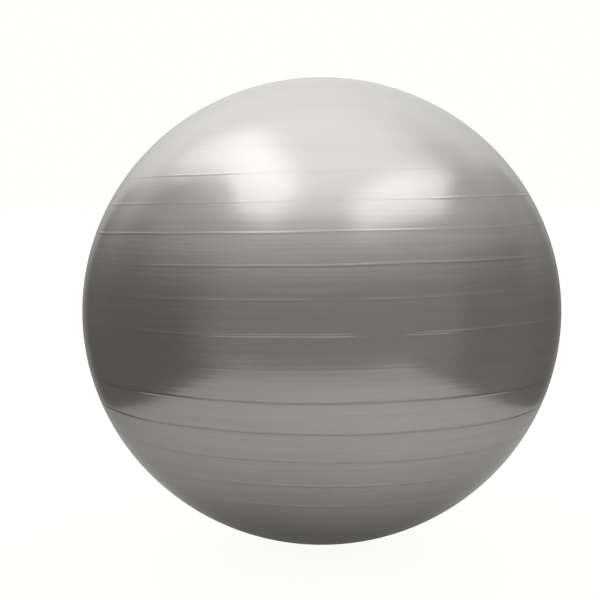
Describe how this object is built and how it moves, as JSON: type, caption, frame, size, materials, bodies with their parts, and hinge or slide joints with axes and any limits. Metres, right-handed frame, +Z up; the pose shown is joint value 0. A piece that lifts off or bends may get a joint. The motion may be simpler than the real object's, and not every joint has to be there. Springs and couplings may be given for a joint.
{
  "type": "exercise ball",
  "caption": "Large inflated exercise ball with raised rings around its middle, smooth caps and a recessed air valve with a pull-out plug.",
  "frame": {"origin": "centre of the small flat patch that the ball rests on", "axes": "+Z up through the top pole, square to the rings; the valve is on the +Y side"},
  "size_m": [0.6518, 0.6518, 0.632],
  "materials": {
    "skin": "silver-grey pearlescent soft vinyl, semi-gloss",
    "seat": "grey soft vinyl, satin",
    "plug": "white semi-rigid plastic, satin"
  },
  "bodies": {
    "ball": {"ball_shell": "skin", "valve_seat": "seat"},
    "plug": {"air_plug": "plug"}
  },
  "joints": [
    {"name": "plug_pull", "type": "slide", "parent": "ball", "child": "plug", "axis": [0, 0.9814, 0.1918], "range_m": [0, 0.035]}
  ]
}
